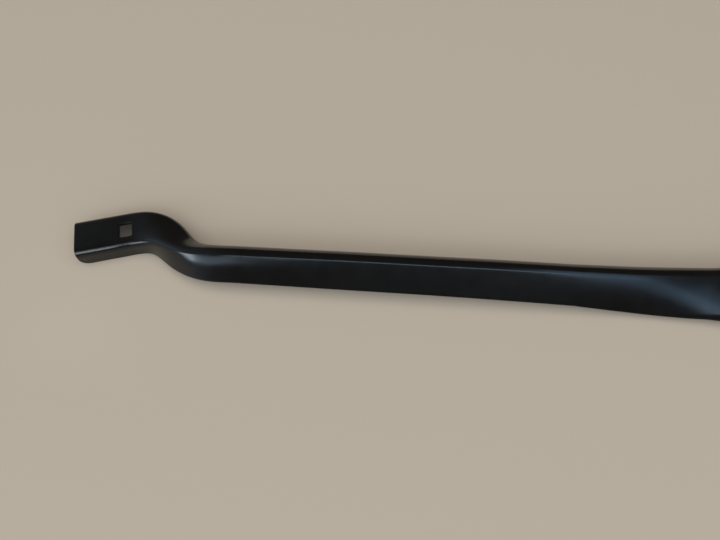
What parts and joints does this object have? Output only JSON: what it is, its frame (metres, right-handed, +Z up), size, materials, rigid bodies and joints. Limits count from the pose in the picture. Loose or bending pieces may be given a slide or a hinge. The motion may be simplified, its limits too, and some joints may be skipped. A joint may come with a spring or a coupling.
{
  "type": "windscreen wiper arm",
  "caption": "Sprung wiper arm: a cranked and twisted pressed steel channel with a latch hole at its blade end, hinged on a cast head that clamps on a tapered spindle.",
  "frame": {"origin": "on the spindle axis, level with the seat that the spindle nut presses on", "axes": "+Z up along the spindle, out of the nut recess; -X along the arm's main line to its blade end; Y across the arm, the hinge axis lying along Y"},
  "size_m": [0.5928, 0.0452, 0.025],
  "materials": {
    "channel_paint": "black paint, satin to semi-gloss",
    "head_paint": "black paint on a die casting, satin",
    "cover_resin": "black, fine grain",
    "pin_steel": "zinc plated",
    "bush_resin": "natural bearing resin",
    "hook_steel": "zinc plated, blanked edges",
    "spring_steel": "drawn wire, phosphated"
  },
  "bodies": {
    "head": {"mounting_head": "head_paint", "nut_cover": "cover_resin", "hinge_bush_near": "bush_resin", "hinge_bush_far": "bush_resin", "hook_pin": "pin_steel"},
    "arm": {"arm_channel": "channel_paint", "hinge_pin": "pin_steel", "spring_anchor_pin": "pin_steel"},
    "spring": {"tension_spring": "spring_steel"},
    "hook": {"spring_hook": "hook_steel"}
  },
  "joints": [
    {"name": "arm_lift", "type": "hinge", "parent": "head", "child": "arm", "pos_m": [-0.062, 0, 0.005], "axis": [0, 1, 0], "range_deg": [0, 65]},
    {"name": "spring_swing", "type": "hinge", "parent": "arm", "child": "spring", "pos_m": [-0.16, 0, 0.001], "axis": [0, 1, 0], "range_deg": [-2.5, 0]},
    {"name": "spring_stretch", "type": "slide", "parent": "spring", "child": "hook", "axis": [0.9994, 0, -0.0357], "range_m": [0, 0.0085], "deforming": ["tension_spring"]}
  ],
  "couplings": [
    {"joint": "spring_swing", "follows": "arm_lift", "ratio": -0.033},
    {"joint": "spring_stretch", "follows": "arm_lift", "m_per_rad": 0.00745}
  ]
}
